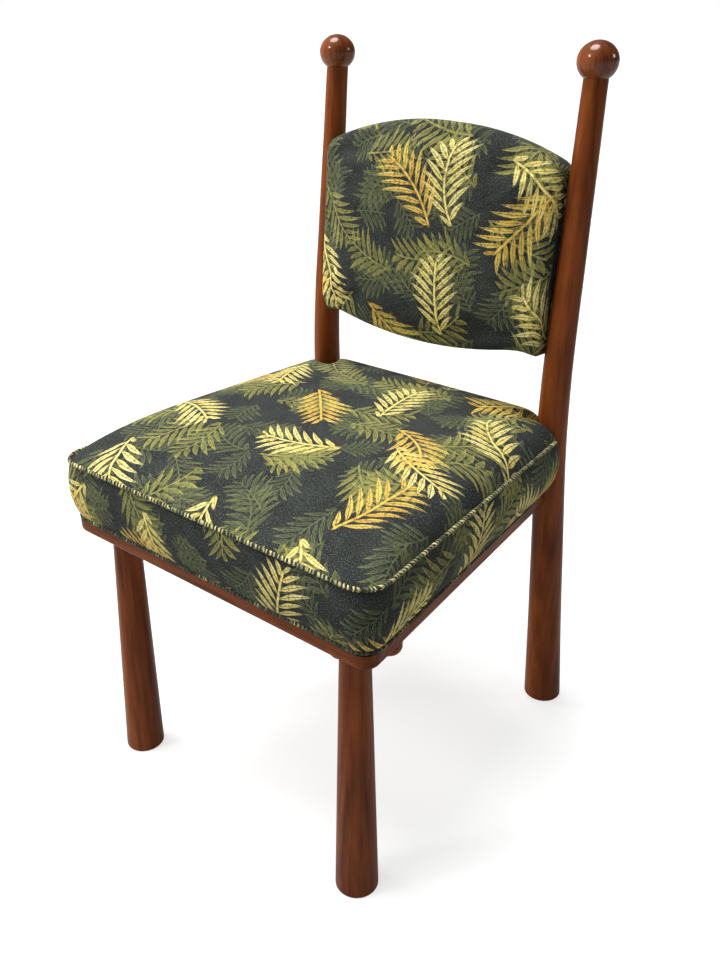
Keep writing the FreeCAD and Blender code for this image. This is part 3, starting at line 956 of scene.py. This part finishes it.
class CHAIR_OT_seat_cushion(bpy.types.Operator):
    """Build the seat cushion: crowned top, boxing between two seams and a recess for its board"""

    bl_idname = "chair.seat_cushion"
    bl_label = "Seat cushion"

    def execute(self, context):
        seat = context.scene.chair_seat
        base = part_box("side_rail_left")[1].z
        board_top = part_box("seat_board")[1].z
        bm = bmesh.new()
        layer = bm.loops.layers.uv.new("cloth")
        seam = seat_outline(seat, 1.0, seat.seam_height, seat.post_gap)
        ring = panel_grid(bm, layer, seam, seat.panel_cells, crowned_top(seat, seam))
        held = list(ring)
        lengths = running_length(seam)
        height = seat.seam_height
        for rise in BOXING_RISES:
            low = base + rise * (seat.seam_height - base)
            outline = seat_outline(seat, 1 - (1 - rise) ** seat.boxing_fullness, low, seat.post_gap)
            lower = next_ring(bm, ring, raised(outline, low))
            band_map(bm, layer, ring, lower, level_map(lengths, height), level_map(lengths, low))
            ring = lower
            height = low
        held += ring
        recess = offset(outline, -RECESS_INSET)
        edges = [level_map(lengths, level) for level in RECESS_LEVELS]
        for level in (height, board_top + BOARD_GAP):
            lower = next_ring(bm, ring, raised(recess, level))
            band_map(bm, layer, ring, lower, *edges)
            ring = lower
            held += ring
        close_ring(bm, ring)
        piece, numbers = padded_mesh(bm, "cushion_cover", held)
        swell(piece, numbers, seat.swell_limit)
        fit(piece, "seat_cushion")
        return {"FINISHED"}


CORD_SIDES = 12
CORD_GAP = 0.0005
UPPER_CORD_STAND = 0.0008
LOWER_CORD_STAND = 0.0016
UPPER_CORD_PLAIN = 0.34
LOWER_CORD_PLAIN = 0.50


def cord_piece(name, path, radius, plain):
    """Round cord along a closed, level path, in the place of the cushion's own cord."""
    bm = bmesh.new()
    layer = bm.loops.layers.uv.new("cloth")
    count = len(path)

    def section(i):
        along = (path[(i + 1) % count] - path[i - 1]).normalized()
        aside = along.cross(Vector((0, 0, 1))).normalized()
        upward = aside.cross(along)
        places = []
        for k in range(CORD_SIDES):
            angle = 2 * math.pi * k / CORD_SIDES
            places.append(path[i] + (aside * math.cos(angle) + upward * math.sin(angle)) * radius)
        return places

    around = [2 * math.pi * radius * k / CORD_SIDES for k in range(CORD_SIDES + 1)]
    lengths = running_length(path)
    maps = [[(run, way) for way in around] for run in lengths]
    first = bmesh.ops.create_circle(bm, segments=CORD_SIDES, radius=radius)["verts"]
    for vert, place in zip(first, section(0)):
        vert.co = place
    ring = first
    for i in range(1, count):
        new = next_ring(bm, ring, section(i))
        band_map(bm, layer, ring, new, maps[i - 1], maps[i])
        ring = new
    open_edges = [e for e in bm.edges if e.is_boundary]
    bmesh.ops.bridge_loops(bm, edges=open_edges)
    band_map(bm, layer, ring, first, maps[-2], maps[-1])
    piece = finished_mesh(bm, name, cord_material(name + "_cloth", plain))
    fit(piece, "seat_cushion")


class CHAIR_OT_seat_cords(bpy.types.Operator):
    """Sew the two cords round the seat, in the upper seam and on the frame"""

    bl_idname = "chair.seat_cords"
    bl_label = "Seat cords"

    def execute(self, context):
        seat = context.scene.chair_seat
        radius = seat.cord_radius
        room = seat.post_gap + 2 * radius
        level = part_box("side_rail_left")[1].z + radius + CORD_GAP
        upper = offset(seat_outline(seat, 1.0, seat.seam_height, room), UPPER_CORD_STAND)
        lower = offset(seat_outline(seat, 0.0, level, room), LOWER_CORD_STAND)
        cord_piece("upper_cord", raised(upper, seat.seam_height), radius, UPPER_CORD_PLAIN)
        cord_piece("lower_cord", raised(lower, level), radius, LOWER_CORD_PLAIN)
        return {"FINISHED"}


FORWARD_FACING = -0.9


class BackBoard:
    """The plane of the leaning back board: its foot, its two directions and half its thickness."""

    def __init__(self):
        core = nodes["back_core"].data
        facing = Vector((0, 0, 0))
        for polygon in core.polygons:
            if polygon.normal.y < FORWARD_FACING:
                facing += polygon.normal * polygon.area
        self.front = facing.normalized()
        self.up = Vector((0, self.front.z, -self.front.y))
        depths = [v.co.dot(self.front) for v in core.vertices]
        lows = [v.co.dot(self.up) for v in nodes["back_pad"].data.vertices]
        self.foot = self.front * ((min(depths) + max(depths)) / 2) + self.up * min(lows)
        self.half = (max(depths) - min(depths)) / 2

    def place(self, point, forward):
        """Place of a plan point at a distance in front of the board's middle."""
        return self.foot + Vector((point.x, 0, 0)) + self.up * point.y + self.front * forward

    def depths(self, node):
        """Distances of a node's vertices in front of the board's middle."""
        return [(v.co - self.foot).dot(self.front) for v in nodes[node].data.vertices]

    def outline(self, node, forward, count):
        """Outline of a piece of the back at a depth, as four even runs from its lower left corner on."""
        cut = level_cut(node, self.foot + self.front * forward, self.front)
        points = [flat(p.x, (p - self.foot).dot(self.up)) for p in cut]
        area = sum(a.x * b.y - b.x * a.y for a, b in zip(points, points[1:] + points[:1]))
        if area < 0:
            points.reverse()
        reach = max(p.x for p in points)
        top = max(p.y for p in points)
        marks = []
        for corner in (flat(-reach, 0), flat(reach, 0), flat(reach, top), flat(-reach, top)):
            marks.append(min(range(len(points)), key=lambda i: (points[i] - corner).length))
        return spread(points, marks, count)


PAD_CUT = 1.5
RIM_STEPS = 5
WRAP_STEPS = 5
BULGE_STEPS = 2
WRAP_ROUND = 0.002
TURN_INSET = 0.0015
TURN_STAND = 0.0003
BOARD_INSET = 0.0074
HELD_SHARE = 0.6
EAR_BASE = 0.02
EAR_FADE = 0.03
EAR_LEAD = 0.012
EAR_DEPTH = 0.024
EAR_SPREAD = 0.7


class CHAIR_OT_back_pad(bpy.types.Operator):
    """Build the padded front of the back, wrapped round the edges of its board"""

    bl_idname = "chair.back_pad"
    bl_label = "Back pad"

    def execute(self, context):
        back = context.scene.chair_back
        board = BackBoard()
        outline = board.outline("back_pad", board.half * PAD_CUT, back.panel_cells)
        rim_front = max(board.depths("back_pad")) - back.crown
        rim_outline = offset(outline, -back.rim_radius)
        low_front = rim_front - back.rim_radius
        bm = bmesh.new()
        layer = bm.loops.layers.uv.new("cloth")

        def domed(point, s, t):
            return board.place(point, rim_front + back.crown * (1 - s ** 2) * (1 - t ** 4))

        ring = panel_grid(bm, layer, rim_outline, back.panel_cells, domed)
        before = (back.rim_radius, rim_front)
        reach = 0.0
        last_map = closed_map(rim_outline)
        held = []
        for inset, forward in self.wrap(back, board.half, rim_front):
            reach += math.hypot(inset - before[0], forward - before[1])
            before = (inset, forward)
            lower = next_ring(bm, ring, [board.place(p, forward) for p in offset(outline, -inset)])
            new_map = closed_map(offset(outline, reach - back.rim_radius))
            band_map(bm, layer, ring, lower, last_map, new_map)
            last_map = new_map
            ring = lower
            if forward < HELD_SHARE * low_front:
                held += lower
        close_ring(bm, ring)
        piece, numbers = padded_mesh(bm, "back_cover", held)
        swell(piece, numbers, back.swell_limit)
        self.fold_ears(piece, back, board, low_front)
        fit(piece, "back_pad")
        return {"FINISHED"}

    def wrap(self, back, half, rim_front):
        """Insets and depths of the cover from its front rim round the edge of the board to its rear."""
        low_front = rim_front - back.rim_radius
        stations = []
        for k in range(1, RIM_STEPS + 1):
            angle = math.pi / 2 * k / RIM_STEPS
            inset = back.rim_radius - (back.rim_radius + back.side_bulge) * math.sin(angle)
            stations.append((inset, rim_front - back.rim_radius * (1 - math.cos(angle))))
        for k in range(1, WRAP_STEPS + 1):
            bulge = back.side_bulge * max(0.0, 1 - k / BULGE_STEPS)
            stations.append((-bulge, low_front + (-half + WRAP_ROUND - low_front) * k / WRAP_STEPS))
        stations.append((TURN_INSET, -half + TURN_STAND))
        stations.append((BOARD_INSET, -half + TURN_STAND))
        stations.append((BOARD_INSET, half + BOARD_GAP))
        return stations

    def fold_ears(self, piece, back, board, low_front):
        """Pull the lower corners down beside the posts, with small tucks in them."""
        half = max(v.co.x for v in piece.data.vertices)
        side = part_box("back_pad")[1].x
        for vert in piece.data.vertices:
            away = vert.co - board.foot
            height = away.dot(board.up)
            forward = away.dot(board.front)
            aside = (half - abs(vert.co.x)) / back.ear_reach
            near = math.exp(-aside ** 2) * math.exp(-(max(0.0, height - EAR_BASE) / EAR_FADE) ** 2)
            rear = min(1.0, max(0.0, (low_front + EAR_LEAD - forward) / EAR_DEPTH))
            rear = rear * rear * (3 - 2 * rear)
            tuck = math.cos(2 * math.pi * (half - abs(vert.co.x)) / back.tuck_pitch)
            fall = back.ear_drop + back.ear_fill * min(height, back.ear_reach) + back.tuck_depth * tuck
            vert.co -= board.up * near * rear * fall
            vert.co += board.front * near * (1 - rear) * back.tuck_depth * tuck
            spare = max(0.0, side - abs(vert.co.x))
            vert.co.x += math.copysign(spare * EAR_SPREAD * near * rear, vert.co.x)


PANEL_EDGE = 0.006
# Insets of the rear panel's edge, with depths in front of its rear face and behind the board
PANEL_OUTER_EDGE = ((0.0035, 0.0008), (0.0012, 0.0028), (0.0, 0.0058))
PANEL_INNER_EDGE = ((0.0006, 0.0022), (0.003, 0.0006))


class CHAIR_OT_rear_panel(bpy.types.Operator):
    """Cover the rear of the back with a thin padded panel"""

    bl_idname = "chair.rear_panel"
    bl_label = "Rear panel"

    def execute(self, context):
        back = context.scene.chair_back
        board = BackBoard()
        depth = min(board.depths("back_lining"))
        outline = board.outline("back_lining", (depth - board.half) / 2, back.panel_cells)
        inner = offset(outline, -PANEL_EDGE)
        bm = bmesh.new()
        layer = bm.loops.layers.uv.new("cloth")

        def domed(point, s, t):
            return board.place(point, depth - back.panel_crown * (1 - s ** 4) * (1 - t ** 4))

        ring = panel_grid(bm, layer, inner, back.panel_cells, domed)
        last_map = closed_map(inner)
        stations = [(inset, depth + lead) for inset, lead in PANEL_OUTER_EDGE]
        stations += [(inset, -board.half - lag) for inset, lag in PANEL_INNER_EDGE]
        for inset, forward in stations:
            lower = next_ring(bm, ring, [board.place(p, forward) for p in offset(outline, -inset)])
            new_map = closed_map(offset(inner, forward - depth + PANEL_EDGE))
            band_map(bm, layer, ring, lower, last_map, new_map)
            last_map = new_map
            ring = lower
        close_ring(bm, ring)
        piece = finished_mesh(bm, "rear_panel", shared_material("printed_cloth", cloth_material))
        fit(piece, "back_lining")
        return {"FINISHED"}


def finish_nodes(starts, material):
    """Give a material to the frame nodes whose names begin with one of some words."""
    for name, node in nodes.items():
        if name.startswith(starts):
            node.data.materials.clear()
            node.data.materials.append(material)


class CHAIR_OT_wood(bpy.types.Operator):
    """Lacquer the posts, balls, legs, rails and cleats"""

    bl_idname = "chair.wood"
    bl_label = "Lacquered wood"

    def execute(self, context):
        upright = wood_material("lacquer_upright", grain="Z", polish=0.10)
        across = wood_material("lacquer_across", grain="X", polish=0.08)
        deep = wood_material("lacquer_deep", grain="Y", polish=0.08)
        polished = wood_material("lacquer_polished", grain="Z", polish=0.55, softness=0.13)
        finish_nodes(("rear_post", "front_leg"), upright)
        finish_nodes(("front_rail", "rear_rail", "corner_cleat"), across)
        finish_nodes("side_rail", deep)
        finish_nodes("finial", polished)
        return {"FINISHED"}


class CHAIR_OT_fixings(bpy.types.Operator):
    """Finish the boards, dowels, screws, bolts and nuts"""

    bl_idname = "chair.fixings"
    bl_label = "Boards and fixings"

    def execute(self, context):
        finish_nodes(("seat_board", "back_core", "back_dowels"), birch_material())
        finish_nodes(("seat_screws", "cleat_screws", "post_bolt", "cross_nut"), steel_material())
        return {"FINISHED"}


FLOOR_HALF = 200.0
FLOOR_GREYS = ((0.29, 0.29, 0.29, 1), (0.30, 0.30, 0.30, 1))
FLOOR_GLOW = 0.22
FLOOR_GLOW_SEEN = 0.70
SKY_BRIGHT = 0.40
SKY_DIM = 0.08
SKY_EDGE = 0.7
DARK_SIDE = Vector((0.82, 0.57, 0.0))
KEY_FROM = Vector((-0.24, -0.10, 0.96))
KEY_STRENGTH = 4.8
KEY_ANGLE = math.radians(35)
# Round lamps: name, place, target, size, power and whether the lacquer mirrors them
LAMPS = (
    ("rim", (1.9, 1.5, 1.7), (0, 0.1, 0.6), 0.5, 10, True),
    ("fill", (-2.35, -0.6, 1.0), (0, 0, 0.5), 1.0, 52, False),
    ("spark", (-1.0, -1.9, 2.3), (0, 0.1, 0.6), 0.42, 24, True),
)
CAMERA_PLACE = Vector((0.7336, -0.8759, 0.9881))
VIEW_AZIMUTH = math.radians(39.0013)
VIEW_ELEVATION = math.radians(26.7744)
VIEW_ROLL = math.radians(-0.117)
LENS = 35.31
SENSOR = 36.0


class CHAIR_OT_stage(bpy.types.Operator):
    """Set the pale floor, the studio light and the camera"""

    bl_idname = "chair.stage"
    bl_label = "Stage"

    def execute(self, context):
        self.floor()
        context.scene.world = self.studio()
        self.lamps()
        context.scene.camera = self.camera()
        context.scene.view_settings.view_transform = "Standard"
        return {"FINISHED"}

    def added(self, name, data):
        """New object of the stage."""
        item = bpy.data.objects.new(name, data)
        bpy.context.scene.collection.objects.link(item)
        return item

    def floor(self):
        """Pale floor that glows white where nothing shades it."""
        bm = bmesh.new()
        bmesh.ops.create_grid(bm, x_segments=2, y_segments=2, size=FLOOR_HALF)
        mesh = bpy.data.meshes.new("floor")
        bm.to_mesh(mesh)
        bm.free()
        material, tree, shader = new_material("pale_floor")
        cloud = noise(tree, add(tree, "ShaderNodeTexCoord").outputs["Object"], scale=1.5, detail=2.0)
        viewed = add(tree, "ShaderNodeLightPath").outputs["Is Camera Ray"]
        feed(tree, shader, {
            "Base Color": mixed(tree, cloud, *FLOOR_GREYS),
            "Roughness": 0.9,
            "Specular IOR Level": 0.1,
            "Emission Color": (1, 1, 1, 1),
            "Emission Strength": ramped(tree, viewed, 0.0, 1.0, FLOOR_GLOW, FLOOR_GLOW_SEEN),
        })
        mesh.materials.append(material)
        self.added("floor", mesh)

    def studio(self):
        """White studio, dimmer on the side away from the lamps."""
        world = bpy.data.worlds.new("studio")
        world.use_nodes = True
        tree = world.node_tree
        facing = add(tree, "ShaderNodeTexCoord").outputs["Generated"]
        side = add(tree, "ShaderNodeVectorMath", {0: facing, 1: DARK_SIDE}, operation="DOT_PRODUCT")
        light = ramped(tree, side.outputs["Value"], -SKY_EDGE, SKY_EDGE, SKY_BRIGHT, SKY_DIM)
        seen = add(tree, "ShaderNodeLightPath").outputs["Is Camera Ray"]
        strength = calc(tree, "MAXIMUM", light, seen)
        feed(tree, tree.nodes["Background"], {"Color": (1, 1, 1, 1), "Strength": strength})
        return world

    def lamps(self):
        """Soft key light from above, and the round lamps."""
        key = bpy.data.lights.new("key", "SUN")
        key.energy = KEY_STRENGTH
        key.angle = KEY_ANGLE
        self.added("key", key).rotation_euler = KEY_FROM.to_track_quat("Z", "Y").to_euler()
        for name, place, target, size, power, mirrored in LAMPS:
            data = bpy.data.lights.new(name, "AREA")
            data.shape = "DISK"
            data.size = size
            data.energy = power
            lamp = self.added(name, data)
            lamp.location = place
            lamp.rotation_euler = (Vector(target) - Vector(place)).to_track_quat("-Z", "Y").to_euler()
            lamp.visible_glossy = mirrored

    def camera(self):
        """Camera at the photograph's viewing angle."""
        data = bpy.data.cameras.new("camera")
        data.sensor_width = SENSOR
        data.sensor_fit = "AUTO"
        data.lens = LENS
        camera = self.added("camera", data)
        back = Vector((
            math.sin(VIEW_AZIMUTH) * math.cos(VIEW_ELEVATION),
            -math.cos(VIEW_AZIMUTH) * math.cos(VIEW_ELEVATION),
            math.sin(VIEW_ELEVATION),
        ))
        right = Vector((math.cos(VIEW_AZIMUTH), math.sin(VIEW_AZIMUTH), 0))
        upward = back.cross(right)
        turned = Matrix((right, upward, back)).transposed() @ Matrix.Rotation(VIEW_ROLL, 3, "Z")
        camera.matrix_world = Matrix.Translation(CAMERA_PLACE) @ turned.to_4x4()
        return camera


class CHAIR_PT_panel(bpy.types.Panel):
    """Sizes, finishes and steps of the chair"""

    bl_idname = "CHAIR_PT_panel"
    bl_label = "Chair"
    bl_space_type = "VIEW_3D"
    bl_region_type = "UI"
    bl_category = "Chair"

    def draw(self, context):
        for group in (context.scene.chair_seat, context.scene.chair_back, context.scene.chair_finishes):
            box = self.layout.box()
            for key in group.__annotations__:
                box.prop(group, key)
        for step in STEPS:
            self.layout.operator(step.bl_idname)


STEPS = (
    CHAIR_OT_wood,
    CHAIR_OT_fixings,
    CHAIR_OT_seat_cushion,
    CHAIR_OT_seat_cords,
    CHAIR_OT_back_pad,
    CHAIR_OT_rear_panel,
    CHAIR_OT_stage,
)
CLASSES = (SeatSizes, BackSizes, Finishes, *STEPS, CHAIR_PT_panel)


def register():
    """Register the classes and their settings on the scene."""
    for cls in CLASSES:
        bpy.utils.register_class(cls)
    bpy.types.Scene.chair_seat = PointerProperty(type=SeatSizes)
    bpy.types.Scene.chair_back = PointerProperty(type=BackSizes)
    bpy.types.Scene.chair_finishes = PointerProperty(type=Finishes)


def unregister():
    """Remove the settings and the classes."""
    del bpy.types.Scene.chair_finishes
    del bpy.types.Scene.chair_back
    del bpy.types.Scene.chair_seat
    for cls in reversed(CLASSES):
        bpy.utils.unregister_class(cls)


def main():
    """Dress the frame."""
    register()
    bpy.ops.chair.wood()
    bpy.ops.chair.fixings()
    bpy.ops.chair.seat_cushion()
    bpy.ops.chair.seat_cords()
    bpy.ops.chair.back_pad()
    bpy.ops.chair.rear_panel()
    bpy.ops.chair.stage()


if __name__ == "__main__":
    main()
